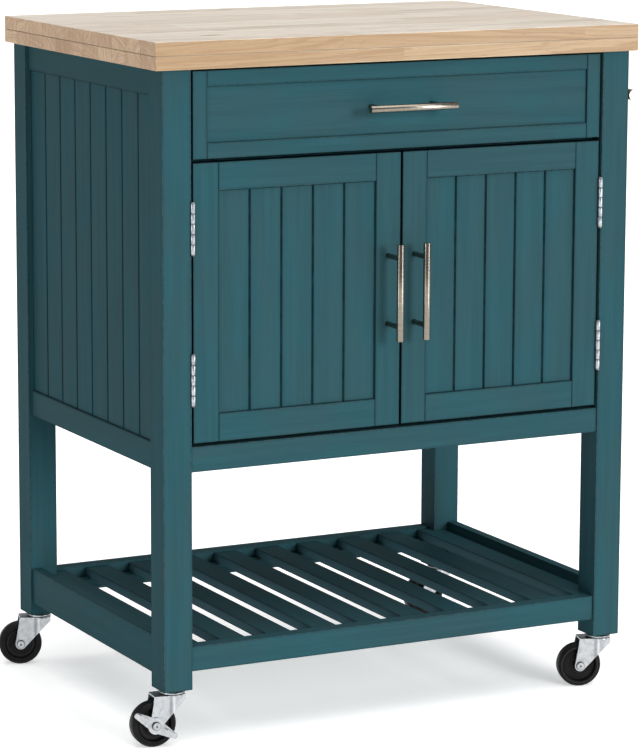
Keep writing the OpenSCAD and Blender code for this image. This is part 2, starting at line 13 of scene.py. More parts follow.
import bmesh
import bpy
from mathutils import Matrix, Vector


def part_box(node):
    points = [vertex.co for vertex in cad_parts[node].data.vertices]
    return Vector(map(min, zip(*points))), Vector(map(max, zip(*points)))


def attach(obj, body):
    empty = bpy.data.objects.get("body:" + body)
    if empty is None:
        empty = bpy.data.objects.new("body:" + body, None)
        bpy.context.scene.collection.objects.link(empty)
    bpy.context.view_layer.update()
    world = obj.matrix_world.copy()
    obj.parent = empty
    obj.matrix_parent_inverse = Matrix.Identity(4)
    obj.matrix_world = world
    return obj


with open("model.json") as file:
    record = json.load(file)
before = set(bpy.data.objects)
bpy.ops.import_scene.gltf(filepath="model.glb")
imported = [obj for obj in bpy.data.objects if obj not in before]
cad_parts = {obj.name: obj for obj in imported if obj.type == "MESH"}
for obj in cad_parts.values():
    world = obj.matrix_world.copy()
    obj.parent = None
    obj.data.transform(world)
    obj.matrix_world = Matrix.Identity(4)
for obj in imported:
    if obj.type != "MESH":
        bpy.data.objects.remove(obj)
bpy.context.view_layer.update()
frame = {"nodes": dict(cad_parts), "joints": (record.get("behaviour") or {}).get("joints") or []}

nodes = frame["nodes"]
MM = 0.001

# %% [markdown]
# ## Writing shader maths as sums
#
# A finish is a small network of nodes. Wiring dozens of Math nodes by hand hides the
# idea, so one class wraps an output socket and lets plain Python operators add the
# nodes. `1 - mask` works too, because each operator has its reflected form.

# %% A socket that can be added and multiplied
class Wire:
    """An output socket of a finish, for use in sums."""

    def __init__(self, finish, socket):
        self.finish = finish
        self.socket = socket

    def math(self, operation, *values):
        return self.finish.node("Math", {"operation": operation}, list(values))

    def __add__(self, other):
        return self.math("ADD", self, other)

    def __radd__(self, other):
        return self.math("ADD", other, self)

    def __sub__(self, other):
        return self.math("SUBTRACT", self, other)

    def __rsub__(self, other):
        return self.math("SUBTRACT", other, self)

    def __mul__(self, other):
        return self.math("MULTIPLY", self, other)

    def __rmul__(self, other):
        return self.math("MULTIPLY", other, self)

    def __truediv__(self, other):
        return self.math("DIVIDE", self, other)

    def __mod__(self, other):
        return self.math("FLOORED_MODULO", self, other)

    def __gt__(self, other):
        return self.math("GREATER_THAN", self, other)

    def __lt__(self, other):
        return self.math("LESS_THAN", self, other)

    def __abs__(self):
        return self.math("ABSOLUTE", self)

    def floor(self):
        return self.math("FLOOR", self)

    def root(self):
        return self.math("SQRT", self)

    def least(self, other):
        return self.math("MINIMUM", self, other)

    def most(self, other):
        return self.math("MAXIMUM", self, other)

    def fade(self, full, none):
        """1 where this value is full, falling smoothly to 0 at none."""
        return self.finish.node(
            "MapRange", {"interpolation_type": "SMOOTHSTEP"},
            {"Value": self, "From Min": none, "From Max": full, "To Min": 0.0, "To Max": 1.0})


# %% [markdown]
# ## One finish, one node method
#
# Every other node comes from a single method. It sets a node's own settings first,
# because a setting such as the data type changes which sockets exist, and then fills
# the sockets with numbers, colours or wires. Positions are taken from the object's
# own coordinates, so a pattern stays put when its drawer or door moves.

# %% A finish with its node method
class Finish:
    """A material under construction."""

    def __init__(self, name):
        self.material = bpy.data.materials.new(name)
        self.material.use_nodes = True
        self.tree = self.material.node_tree
        self.shader = next(n for n in self.tree.nodes if n.type == "BSDF_PRINCIPLED")
        self.place = self.node("TexCoord", {}, {}, "Object")
        axes = self.node("SeparateXYZ", {}, [self.place], "X", "Y", "Z")
        self.x, self.y, self.z = axes

    def node(self, kind, settings, inputs, *outputs):
        made = self.tree.nodes.new("ShaderNode" + kind)
        for key, value in settings.items():
            setattr(made, key, value)
        named = inputs.items() if isinstance(inputs, dict) else enumerate(inputs)
        for key, value in named:
            if isinstance(key, int):
                socket = made.inputs[key]
            else:
                socket = next(s for s in made.inputs if s.name == key and s.enabled)
            self.fill(socket, value)
        usable = [s for s in made.outputs if s.enabled]
        wires = [Wire(self, s) for name in outputs for s in usable if s.name == name]
        if not outputs:
            return Wire(self, usable[0])
        return wires if len(wires) > 1 else wires[0]

    def fill(self, socket, value):
        if isinstance(value, Wire):
            self.tree.links.new(value.socket, socket)
        elif socket.type == "RGBA" and len(value) == 3:
            socket.default_value = (*value, 1)
        else:
            socket.default_value = value

    def wear(self, key, value):
        """Sets one of the shader's own sockets, to a number, a colour or a wire."""
        self.fill(self.shader.inputs[key], value)

    def mix(self, amount, first, second):
        """Colours from first at 0 to second at 1."""
        return self.node("Mix", {"data_type": "RGBA"},
                         {"Factor": amount, "A": first, "B": second}, "Result")

    def at(self, x, y, z):
        return self.node("CombineXYZ", {}, [x, y, z])

    def noise(self, scales, detail=3.0, seed=0.0, rough=0.55):
        """Noise with its own scale, in cycles per metre, along each axis."""
        point = self.at(self.x * scales[0] + seed, self.y * scales[1], self.z * scales[2])
        return self.node("TexNoise", {"noise_dimensions": "3D"},
                         {"Vector": point, "Scale": 1.0, "Detail": detail, "Roughness": rough},
                         "Fac")

    def bump(self, height, depth):
        """A relief of that depth in metres, from heights of 0 to 1."""
        return self.node("Bump", {}, {"Strength": 1.0, "Distance": depth, "Height": height})


def choose(mask, inside, outside):
    """inside where mask is 1, outside where it is 0."""
    return inside * mask + outside * (1 - mask)


print("shader helpers ready")

# %% [markdown]
# ## Where the edges of a board are
#
# Handling rubs the paint off a board's edges, and a dark glaze stays in its joints.
# Both need to know how far a point on a board lies from the nearest edge. On a box,
# one of the three distances to its pairs of faces is zero, and the middle one of the
# three is the distance to the edge. Boards that repeat are folded onto one of them.

# %% Distance to the nearest edge of a box
def edge_distance(point, low, high):
    """How far a point on a box's surface is from the box's nearest edge."""
    a, b, c = [(h - l) / 2 - abs(p - (h + l) / 2) for p, l, h in zip(point, low, high)]
    return a.least(b).most(a.most(b).least(c))


def centre(node):
    low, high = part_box(node)
    return (low + high) / 2


cart_x = centre("worktop_upper_board").x
cart_y = centre("worktop_upper_board").y
print("the cart's own centre is at", round(cart_x, 5), round(cart_y, 5))

# %% [markdown]
# ## The teal paint
#
# The cart is brushed with a blue-green paint, then wiped with a nearly black glaze
# that stays in grooves and joints. Seen close, the paint has three layers of detail:
# slow patches where the coat is bluer or greyer, fine brush lines along each board,
# and worn edges where a greyish undercoat shows through in broken specks.

# %% The paint's recipe
BLUE_TEAL = (0.0215, 0.0715, 0.0860)
GREY_TEAL = (0.0250, 0.0675, 0.0780)
# The glaze's nearly black teal, also used as painted shade on the slats' tops, the divider rail
# and the frames' gap faces.
GLAZE_AND_SHADE = (0.0020, 0.0095, 0.0140)
RUBBED = (0.055, 0.082, 0.085)
# A lighter teal, for painted light on the slats' sides.
LIT_SIDE_TEAL = (0.075, 0.150, 0.180)
BRUSH_FINE = 900
BRUSH_LONG = 9
BRUSH_WIDE = 110
BRUSH_WIDE_LONG = 4
PATCH = 7
SPECK = 240
BRUSH_DARK = 0.08
# Amounts of painted shade on the slats' tops and of painted light on their sides.
TOP_SHADE = 0.08
SIDE_LIGHT = 0.36
EDGE_GLAZE = 0.30
EDGE_RUB = 0.60
JOINT_GLAZE_AND_SHADE = 0.78
PAINT_GLOSS = 0.01
PAINT_ROUGH = 0.40
PAINT_RELIEF = 0.10 * MM
EASED = 0.9 * MM
PANEL_EASED = 0.3 * MM


def brush_scales(along, fine, long_way):
    """Noise scales that stretch a pattern along one axis."""
    return [long_way if axis == along else fine for axis in "xyz"]


def two_teals(coat, patch, streak, wide):
    """Slow patches of two teals, with fine and wide brush lines a little darker."""
    colour = coat.mix(patch.fade(0.62, 0.38), GREY_TEAL, BLUE_TEAL)
    colour = coat.mix(streak.fade(0.35, 0.6) * BRUSH_DARK, colour, GLAZE_AND_SHADE)
    return coat.mix(wide.fade(0.6, 0.4) * BRUSH_DARK, colour, GLAZE_AND_SHADE)


def wear_paint(coat, colour, streak, relief):
    coat.wear("Base Color", colour)
    coat.wear("Roughness", PAINT_ROUGH + streak * 0.12)
    coat.wear("Specular IOR Level", PAINT_GLOSS)
    coat.wear("Normal", coat.bump(relief, PAINT_RELIEF))
    return coat.material


def paint(name, along, edges=None, joints=None, seed=0.0, shaded_top=None):
    """Teal paint brushed along an axis; edges, joints and a top face given painted shade are
    rules.
    """
    coat = Finish(name)
    patch = coat.noise(brush_scales(along, 3 * PATCH, PATCH), 3.0, seed)
    streak = coat.noise(brush_scales(along, BRUSH_FINE, BRUSH_LONG), 3.0, seed)
    wide = coat.noise(brush_scales(along, BRUSH_WIDE, BRUSH_WIDE_LONG), 2.0, seed + 5)
    colour = two_teals(coat, patch, streak, wide)
    relief = streak * 0.5 + wide * 0.5
    # Painted shade on the chosen top faces, and painted light on the upright sides.
    if shaded_top:
        top_in_shade = shaded_top(coat)
        colour = coat.mix(top_in_shade * TOP_SHADE, colour, GLAZE_AND_SHADE)
        colour = coat.mix((1 - top_in_shade) * SIDE_LIGHT, colour, LIT_SIDE_TEAL)
    if edges:
        near = edges(coat)
        specks = coat.noise([SPECK] * 3, 3.0, seed + 9)
        colour = coat.mix(near.fade(0.6 * MM, 3.2 * MM) * EDGE_GLAZE, colour, GLAZE_AND_SHADE)
        rubbed = near.fade(0.5 * MM, 1.5 * MM) * specks.fade(0.60, 0.42)
        colour = coat.mix(rubbed * EDGE_RUB, colour, RUBBED)
        relief = relief - rubbed * 0.4
    # Glaze in the joints; for the divider rail, painted shade all over.
    if joints:
        sunk = joints(coat)
        uneven = coat.noise([60] * 3, 2.0, seed + 3).fade(0.7, 0.25) * 0.35 + 0.65
        colour = coat.mix(sunk * uneven * JOINT_GLAZE_AND_SHADE, colour, GLAZE_AND_SHADE)
    return wear_paint(coat, colour, streak, relief)


print("paint recipe: brush lines", BRUSH_FINE, "to a metre, patches", PATCH, "to a metre")

# %% [markdown]
# ## Softening the boards' edges
#
# A planed board never has a razor edge. A Weld modifier closes the hairline splits
# that an imported mesh has along its corners, a Bevel modifier then rounds them over,
# and the mesh itself stays as the CAD made it.

# %% Eased edges on a CAD node
HAIRLINE = 0.02 * MM
SHARP_DEG = 30


def ease(piece, width, segments):
    weld = piece.modifiers.new("weld", "WELD")
    weld.merge_threshold = HAIRLINE
    bevel = piece.modifiers.new("eased_edges", "BEVEL")
    bevel.width = width
    bevel.segments = segments
    bevel.limit_method = "ANGLE"
    bevel.angle_limit = math.radians(SHARP_DEG)
    bevel.harden_normals = True


def finish_node(node, material, width, segments=2):
    """Gives a CAD node its finish and its eased edges."""
    piece = nodes[node]
    piece.data.materials.clear()
    piece.data.materials.append(material)
    ease(piece, width, segments)


print("edges sharper than", SHARP_DEG, "degrees can be eased")

# %% [markdown]
# ## The painted legs, rails and aprons
#
# Each leg and rail is one straight board, so one rule covers them: brush lines run
# along the board, and wear follows its edges. Boards that come in mirrored pairs are
# folded about the cart's middle, so both halves wear alike without being copies.

# %% Legs, rails and aprons
def single(node):
    low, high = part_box(node)
    return lambda coat: edge_distance((coat.x, coat.y, coat.z), low, high)


def pair(node, axis, board):
    """Two boards mirrored about the node's middle; board is one board's thickness."""
    low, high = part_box(node)
    middle = (low + high) / 2
    reach = (high - low)[axis] / 2

    def rule(coat):
        point = [coat.x, coat.y, coat.z]
        point[axis] = abs(point[axis] - middle[axis])
        one_low, one_high = low.copy(), high.copy()
        one_low[axis], one_high[axis] = reach - board, reach
        return edge_distance(point, one_low, one_high)
    return rule


RAIL_T = 18 * MM
RAIL_H = 35 * MM
STRETCHER_W = 50 * MM
APRON_T = 14 * MM
CLEAT_W = 18 * MM
SEED_STEP = 3.7
STRAIGHT_BOARDS = [
    ("front_left_leg", "z", single("front_left_leg")),
    ("front_right_leg", "z", single("front_right_leg")),
    ("back_left_leg", "z", single("back_left_leg")),
    ("back_right_leg", "z", single("back_right_leg")),
    ("side_top_rails", "y", pair("side_top_rails", 0, RAIL_T)),
    ("side_bottom_rails", "y", pair("side_bottom_rails", 0, RAIL_T)),
    ("back_rails", "x", pair("back_rails", 2, RAIL_H)),
    ("front_bottom_rail", "x", single("front_bottom_rail")),
    ("divider_rail", "x", single("divider_rail")),
    ("top_stretchers", "x", pair("top_stretchers", 1, STRETCHER_W)),
    ("cabinet_floor", "x", single("cabinet_floor")),
    ("inner_shelf", "x", single("inner_shelf")),
    ("front_apron", "x", single("front_apron")),
    ("back_apron", "x", single("back_apron")),
    ("side_aprons", "y", pair("side_aprons", 0, APRON_T)),
    ("slat_cleats", "x", pair("slat_cleats", 1, CLEAT_W)),
]


def all_over(coat):
    """Painted shade all over a rail that only shows through a gap, so the gap looks dark."""
    return 1.0


for order, (node, along, rule) in enumerate(STRAIGHT_BOARDS):
    # The divider rail is painted dark all over, as painted shade in the gap between the drawer
    # and the doors.
    gap = all_over if node == "divider_rail" else None
    painted = paint("paint_" + node, along, edges=rule, joints=gap, seed=SEED_STEP * order)
    finish_node(node, painted, EASED)
print(len(STRAIGHT_BOARDS), "straight boards painted")

# %% [markdown]
# ## Slats
#
# The shelf's slats are all one width and evenly spaced. Folding X by the spacing
# brings every slat onto one, so one rule finds the edges of all of them.

# %% Shelf slats
SLAT_W = 36 * MM
SLATS = 10
TOP_SKIN = 0.7 * MM


def slat_edges(coat):
    low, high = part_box("shelf_slats")
    spacing = ((high - low).x - SLAT_W) / (SLATS - 1)
    across = (coat.x - (low.x + SLAT_W / 2 - spacing / 2)) % spacing
    one_low = Vector(((spacing - SLAT_W) / 2, low.y, low.z))
    one_high = Vector(((spacing + SLAT_W) / 2, high.y, high.z))
    return edge_distance((across, coat.y, coat.z), one_low, one_high)


def slat_shaded_top(coat):
    """The level tops get painted shade; the upright sides get painted light."""
    return coat.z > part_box("shelf_slats")[1].z - TOP_SKIN


# The slats' tops are painted darker, as painted shade under the cabinet, and their sides
# lighter, as painted light from the floor.
finish_node("shelf_slats", paint("paint_slats", "y", edges=slat_edges, seed=61.0,
                                 shaded_top=slat_shaded_top), EASED)
print(SLATS, "slats painted")

# %% [markdown]
# ## Beadboard panels
#
# The sides, back and doors are filled with tongue-and-groove boards. The glaze is
# darkest in the V-grooves between the boards and along the panel's border, where it
# meets the frame. The same remainder that folded the slats finds the nearest groove.

# %% Beadboard panels
GROOVE_HAZE = 7 * MM
GROOVE_HAZE_GLAZE = 0.22


def beadboard_joints(node, axis, boards):
    """Where glaze gathers: in the grooves, and round the panel's border."""
    low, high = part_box(node)
    pitch = (high - low)[axis] / boards

    def rule(coat):
        point = (coat.x, coat.y, coat.z)
        across = (point[axis] - low[axis]) % pitch
        groove = across.least(pitch - across)
        rim = (point[axis] - low[axis]).least(high[axis] - point[axis])
        rim = rim.least(high.z - coat.z).least(coat.z - low.z)
        inside = groove.fade(1.3 * MM, 2.4 * MM)
        soft = groove.fade(0.0, GROOVE_HAZE) * GROOVE_HAZE_GLAZE
        return inside.most(soft).most(rim.fade(0.6 * MM, 2.2 * MM))
    return rule


PANELS = [("left_side_panel", 1, 8), ("right_side_panel", 1, 8), ("back_panel", 0, 12),
          ("left_door_panel", 0, 5), ("right_door_panel", 0, 5)]
for order, (node, axis, boards) in enumerate(PANELS):
    glazed = beadboard_joints(node, axis, boards)
    painted = paint("paint_" + node, "z", joints=glazed, seed=80 + 4.3 * order)
    finish_node(node, painted, PANEL_EASED)
print(len(PANELS), "beadboard panels painted")

# %% [markdown]
# ## Framed doors and drawer front
#
# A door has two stiles of full height and two rails between them. The brush follows
# each piece, upright on the stiles and level on the rails, and the joint between them
# shows as a hairline. A mask picks the stile's or the rail's pattern.

# %% Door and drawer frames
DOOR_BAR = 36 * MM
DRAWER_BAR = 20 * MM
FRAME_EDGE_GLAZE = 0.25
FRAME_RUB = 0.5
SEAM_GLAZE = 0.36
GAP_SHADE = 0.85
EDGE_FACE = 0.45 * MM


def frame_paint(node, bar, seed):
    """Brushed along each bar, with a hairline at the joints and painted shade on the faces in
    the gaps.
    """
    low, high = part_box(node)
    middle = (low + high) / 2
    half = (high - low) / 2
    coat = Finish("paint_" + node)
    across, up = abs(coat.x - middle.x), abs(coat.z - middle.z)
    stile = across > half.x - bar
    on_stile = edge_distance((across, coat.y, up), (half.x - bar, low.y, -half.z),
                             (half.x, high.y, half.z))
    on_rail = edge_distance((across, coat.y, up), (bar - half.x, low.y, half.z - bar),
                            (half.x - bar, high.y, half.z))
    near = choose(stile, on_stile, on_rail)
    patch = coat.noise([PATCH] * 3, 2.0, seed)
    streak, wide = [
        choose(stile, *[coat.noise(brush_scales(along, fine, long_way), detail, seed + shift)
                        for along in "zx"])
        for fine, long_way, detail, shift in ((BRUSH_FINE, BRUSH_LONG, 3.0, 0),
                                              (BRUSH_WIDE, BRUSH_WIDE_LONG, 2.0, 5))]
    specks = coat.noise([SPECK] * 3, 3.0, seed + 9)
    seam = abs(across - (half.x - bar)).fade(0.1 * MM, 1.3 * MM)
    # The frame's outer faces, which stand in the gaps round it, get painted shade.
    shaded_gap_face = (across > half.x - EDGE_FACE).most(up > half.z - EDGE_FACE)
    colour = two_teals(coat, patch, streak, wide)
    colour = coat.mix(near.fade(0.6 * MM, 3.0 * MM) * FRAME_EDGE_GLAZE, colour, GLAZE_AND_SHADE)
    rubbed = near.fade(0.5 * MM, 1.5 * MM) * specks.fade(0.60, 0.42) * (1 - seam)
    colour = coat.mix(rubbed * FRAME_RUB, colour, RUBBED)
    colour = coat.mix((seam * SEAM_GLAZE).most(shaded_gap_face * GAP_SHADE), colour, GLAZE_AND_SHADE)
    return wear_paint(coat, colour, streak, streak * 0.5 + wide * 0.5 - rubbed * 0.4)


FRAMES = [("left_door_frame", DOOR_BAR), ("right_door_frame", DOOR_BAR),
          ("drawer_front_frame", DRAWER_BAR)]
for order, (node, bar) in enumerate(FRAMES):
    finish_node(node, frame_paint(node, bar, 120 + 6.1 * order), EASED)
print(len(FRAMES), "frames painted")

# %% [markdown]
# ## The drawer's inner panel
#
# The drawer front has one flat panel inside its border. Only a little glaze is left in
# the joint round it, so the border shows as a fine line.

# %% The drawer's inner panel
BORDER_GLAZE = 0.6


def border_joint(node):
    low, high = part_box(node)

    def rule(coat):
        rim = (coat.x - low.x).least(high.x - coat.x)
        rim = rim.least(coat.z - low.z).least(high.z - coat.z)
        return rim.fade(0.6 * MM, 2.4 * MM) * BORDER_GLAZE
    return rule


painted = paint("paint_drawer_panel", "x", joints=border_joint("drawer_front_panel"), seed=151.0)
finish_node("drawer_front_panel", painted, PANEL_EASED)
print("drawer's inner panel painted")

# %% [markdown]
# ## The butcher-block worktop
#
# The worktop is two boards, each glued up from rubberwood staves that run across the
# cart. Every stave is cut from its own log, so each has its own tone and its own growth
# rings. Rings are drawn as they grow: circles round a pith that lies somewhere outside
# the stave. On a long face they show as streaks and on the end as arcs, with no seam
# between the two, because both come from the same solid pattern.

# %% The worktop's recipe
CREAM = (0.70, 0.560, 0.370)
TAN = (0.44, 0.300, 0.165)
PINK_TAN = (0.47, 0.325, 0.220)
# A paler colour for the top, as a painted sheen.
TOP_SHEEN = (0.85, 0.800, 0.730)
GREY_STREAK = (0.42, 0.345, 0.285)
LATE_WOOD = (0.30, 0.185, 0.095)
END_PALE = (0.63, 0.465, 0.312)
END_BROWN = (0.38, 0.238, 0.148)
KNOT = (0.14, 0.08, 0.04)
print("worktop colours chosen")

# %% [markdown]
# ### Which block of wood a point is in
#
# Dividing a point's place from front to back by the stave's width numbers the staves,
# and dividing its place along the stave by a length numbers the blocks in it. White
# noise turns each pair of numbers into a tone that stays the same all over the block.
# The rings are circles round the block's own pith, a little wavy, and the pith leans.

# %% Blocks and their rings
STAVE = 45.5 * MM
SHORTEST = 0.33
LENGTH_SPREAD = 0.14
JOINTS_SPREAD = 0.9
PITH_ASIDE = 0.40
PITH_NEAREST = 0.05
PITH_SPREAD = 0.20
PITH_LEAN = 0.16
RINGS = 260


def random_of(coat, *numbers):
    """A steady random number for each whole-number cell."""
    return coat.node("TexWhiteNoise", {"noise_dimensions": "3D"},
                     {"Vector": coat.at(*numbers)}, "Value")


class Block:
    """The block of wood that a point of a worktop board lies in."""

    def __init__(self, coat, low, seed, tone_turn):
        from_front = (coat.y - low.y) / STAVE
        stave = from_front.floor()
        self.across = (from_front % 1) * STAVE
        self.length = SHORTEST + LENGTH_SPREAD * random_of(coat, stave, seed, 1.0)
        start = JOINTS_SPREAD * random_of(coat, stave, seed, 2.0)
        along = (coat.x - low.x + start) / self.length
        number = along.floor()
        self.inside = along % 1
        self.tone = (random_of(coat, stave, number, seed) + tone_turn) % 1
        self.warm = random_of(coat, stave, number, seed + 7)
        self.shift = random_of(coat, stave, number, seed + 13)
        self.lean = random_of(coat, stave, number, seed + 29) - 0.5

    def rings(self, coat, low, seed):
        """Growth rings round this block's pith, which lies outside it."""
        pith_y = (self.shift - 0.5) * PITH_ASIDE
        pith_z = PITH_NEAREST + PITH_SPREAD * self.warm
        wander = coat.noise([2.2, 30, 30], 4.0, seed)
        grain_y = self.across - STAVE / 2 - pith_y + (wander - 0.5) * 0.030
        slope = self.lean * PITH_LEAN * (self.inside * self.length)
        grain_z = coat.z - low.z + pith_z + slope + (wander - 0.5) * 0.024
        radius = (grain_y * grain_y + grain_z * grain_z).root()
        return coat.node("TexNoise", {"noise_dimensions": "1D"},
                         {"W": radius * RINGS + self.tone * 40, "Scale": 1.0, "Detail": 2.0},
                         "Fac")

    def seams(self):
        """Glue lines beside the stave, and butt joints at the block's two ends."""
        glue = self.across.least(STAVE - self.across).fade(0.15 * MM, 0.75 * MM)
        from_end = self.inside.least(1 - self.inside) * self.length
        return glue, from_end.fade(0.1 * MM, 0.7 * MM)


print("staves", round(STAVE, 4), "m wide, blocks from", SHORTEST, "m long")

# %% [markdown]
# ### Faces, ends and knots
#
# The top is painted paler than the sides, as a painted sheen, with the same grain a little
# fainter. The ends are browner, because open pores drink the oil. Knots are rare: a cell pattern
# scatters points, and only the cells that drew a high number keep theirs.

# %% Colours of the faces and the ends, and knots
def face_colour(coat, block, ring, fibre, top, seed):
    pore = coat.noise([70, 650, 650], 2.0, seed + 33)
    wisp = coat.noise([4.5, 70, 90], 4.0, seed + 51)
    colour = coat.mix(block.tone, CREAM, TAN)
    colour = coat.mix(block.warm * 0.25, colour, PINK_TAN)
    # The top gets the paler colour, as a painted sheen.
    colour = coat.mix(top * (0.86 - block.tone * 0.22), colour, TOP_SHEEN)
    colour = coat.mix(wisp.fade(0.72, 0.48) * (0.22 + top * 0.26), colour, GREY_STREAK)
    colour = coat.mix(ring.fade(0.62, 0.42) * (0.46 - top * 0.22), colour, LATE_WOOD)
    colour = coat.mix(fibre.fade(0.70, 0.45) * (0.36 - top * 0.16), colour, LATE_WOOD)
    return coat.mix(pore.fade(0.74, 0.60) * (0.50 - top * 0.20), colour, LATE_WOOD)


def end_colour(coat, block, ring, seed):
    speck = coat.noise([700] * 3, 2.0, seed + 41)
    stripe = coat.noise([1, 150, 40], 3.0, seed + 61).fade(0.62, 0.40)
    colour = coat.mix(block.tone * 0.70 + stripe * 0.25, END_PALE, END_BROWN)
    colour = coat.mix(ring.fade(0.62, 0.38) * 0.55, colour, END_BROWN)
    return coat.mix(speck.fade(0.72, 0.5) * 0.22, colour, KNOT)


KNOT_CELLS = (5.2, 17, 17)
KNOT_RARE = 0.70


def knots(coat, seed):
    long_way, wide, high = KNOT_CELLS
    point = coat.at(coat.x * long_way, coat.y * wide, coat.z * high + seed)
    distance, cell = coat.node("TexVoronoi", {"feature": "F1"},
                               {"Vector": point, "Scale": 1.0}, "Distance", "Color")
    drawn = coat.node("SeparateColor", {}, [cell], "Red") > KNOT_RARE
    return distance.fade(0.05, 0.13) * drawn


print("knots kept in about", round(1 - KNOT_RARE, 2), "of the cells")

# %% [markdown]
# ### The finished board
#
# Masks for the top and the two ends choose between the colours. The dark joints come
# last, so that they run over everything: between staves, between blocks, and along the
# line where the two boards are glued together.

# %% Worktop boards
END_SKIN = 0.35 * MM
TOP_FACE = 0.5 * MM
BOARD_LINE = 0.42
BOARD_EASED = 1.2 * MM
WOOD_RELIEF = 0.12 * MM


def butcher_block(node, seed, tone_turn, glued_z):
    """Staves glued side by side; tone_turn turns the tones, glued_z is the glued face."""
    low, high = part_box(node)
    coat = Finish("wood_" + node)
    block = Block(coat, low, seed, tone_turn)
    ring = block.rings(coat, low, seed)
    fibre = coat.noise([9, 420, 420], 3.0, seed + 21)
    end = abs(coat.x - (low.x + high.x) / 2) > ((high.x - low.x) / 2 - END_SKIN)
    top = coat.z > high.z - TOP_FACE
    colour = coat.mix(end, face_colour(coat, block, ring, fibre, top, seed),
                      end_colour(coat, block, ring, seed))
    colour = coat.mix(knots(coat, seed) * 0.80, colour, KNOT)
    glue, butt = block.seams()
    colour = coat.mix(glue.most(butt) * (0.34 + end * 0.30), colour, KNOT)
    between = abs(coat.z - glued_z).fade(0.2 * MM, 1.0 * MM)
    colour = coat.mix(between * BOARD_LINE, colour, KNOT)
    coat.wear("Base Color", colour)
    coat.wear("Roughness", 0.42 + ring * 0.10 + end * 0.18)
    coat.wear("Specular IOR Level", 0.30)
    coat.wear("Normal", coat.bump(fibre * 0.5 + ring * 0.3 - glue * 0.6, WOOD_RELIEF))
    return coat.material


glued_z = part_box("worktop_upper_board")[0].z
BOARDS = [("worktop_upper_board", 3.0, 0.12), ("worktop_lower_board", 17.0, 0.25)]
for node, seed, tone_turn in BOARDS:
    finish_node(node, butcher_block(node, seed, tone_turn, glued_z), BOARD_EASED, 3)
print(len(BOARDS), "worktop boards, glued at", round(glued_z, 4), "m")

# %% [markdown]
# ## Plain wood for the drawer box
#
# A drawer box is unpainted, in straight-grained plywood or pine. It only shows when
# the drawer is open, but then it fills the view, so it gets real grain as well.

# %% Drawer box and its runners' cleats
PALE_PINE = (0.56, 0.40, 0.235)
DARK_PINE = (0.40, 0.25, 0.125)
PLANED = 0.6 * MM


def plain_wood(name, along, seed):
    coat = Finish(name)
    wander = coat.noise(brush_scales(along, 22, 5), 3.0, seed)
    lines = coat.noise(brush_scales(along, 260, 3.0), 3.0, seed + 3)
    fibre = coat.noise(brush_scales(along, 1200, 20), 2.0, seed + 11)
    colour = coat.mix(wander.fade(0.65, 0.35), PALE_PINE, DARK_PINE)
    colour = coat.mix(wander.fade(0.2, 0.7) * 0.5, colour, PALE_PINE)
    colour = coat.mix(lines.fade(0.62, 0.45) * 0.40, colour, DARK_PINE)
    colour = coat.mix(fibre.fade(0.7, 0.5) * 0.22, colour, DARK_PINE)
    coat.wear("Base Color", colour)
    coat.wear("Roughness", 0.50 + fibre * 0.15)
    coat.wear("Normal", coat.bump(fibre * 0.5 + lines * 0.5, WOOD_RELIEF))
    return coat.material


for node, along, seed in (("drawer_box", "y", 5.0), ("drawer_bottom", "x", 9.0),
                          ("runner_cleats", "y", 13.0)):
    finish_node(node, plain_wood("wood_" + node, along, seed), PLANED)
print("drawer box in plain wood")

# %% [markdown]
# ## Brushed nickel for the pulls and the towel bar
#
# The bars are turned and then brushed, which leaves fine rings round them. The rings
# are noise squeezed along the bar and stretched round it, feeding the roughness and a
# faint bump, so the highlight breaks up as it does on real brushed metal.

# %% Brushed nickel
NICKEL = (0.30, 0.268, 0.226)
NICKEL_DARK = (0.15, 0.130, 0.105)
DARKER_END = (0.24, 0.205, 0.165)
TIP = 0.3 * MM
TURNED_FINE = 2400
TURNED_ROUND = 60
NICKEL_EASED = 0.7 * MM


def brushed_nickel(node, along, seed):
    """Rings round the bar, and cut ends in a darker colour."""
    low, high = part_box(node)
    coat = Finish("nickel_" + node)
    axis = "xyz".index(along)
    place = (coat.x, coat.y, coat.z)[axis]
    tip = (place - low[axis]).least(high[axis] - place) < TIP
    rings = coat.noise(brush_scales(along, TURNED_ROUND, TURNED_FINE), 2.0, seed)
    cloud = coat.noise([40] * 3, 2.0, seed + 4)
    colour = coat.mix(rings.fade(0.65, 0.35) * 0.6, NICKEL, NICKEL_DARK)
    # The bar's cut ends are darker.
    coat.wear("Base Color", coat.mix(tip * (0.45 + cloud * 0.4), colour, DARKER_END))
    coat.wear("Metallic", 1.0)
    coat.wear("Roughness", 0.14 + rings * 0.10 + cloud * 0.05)
    coat.wear("Normal", coat.bump(rings, 0.012 * MM))
    return coat.material


BARS = {"drawer_pull": "x", "left_door_pull": "z", "right_door_pull": "z", "towel_bar": "y"}
for node, along in BARS.items():
    finish_node(node, brushed_nickel(node, along, 7.0), NICKEL_EASED)
print(len(BARS), "bars in nickel")

# %% [markdown]
# ## Zinc plate for slides and catches
#
# Bright zinc is bluish and a little cloudy, with fine pressing marks. It is dusted
# unevenly, so its roughness varies in soft patches.

# %% Zinc plate
ZINC = (0.50, 0.52, 0.535)
ZINC_DULL = (0.32, 0.335, 0.355)
DULLED = 0.55
SHEET_EASED = 0.2 * MM


def zinc_sheet(name, seed):
    coat = Finish(name)
    cloud = coat.noise([90] * 3, 4.0, seed)
    scratch = coat.noise([1300, 1300, 160], 2.0, seed + 6)
    dull = cloud.fade(0.80, 0.30) * (1 - DULLED) + DULLED
    coat.wear("Base Color", coat.mix(dull, ZINC, ZINC_DULL))
    coat.wear("Metallic", 1.0)
    coat.wear("Roughness", 0.26 + cloud * 0.06 + scratch * 0.06)
    coat.wear("Normal", coat.bump(scratch * 0.4 + cloud * 0.3, 0.02 * MM))
    return coat.material


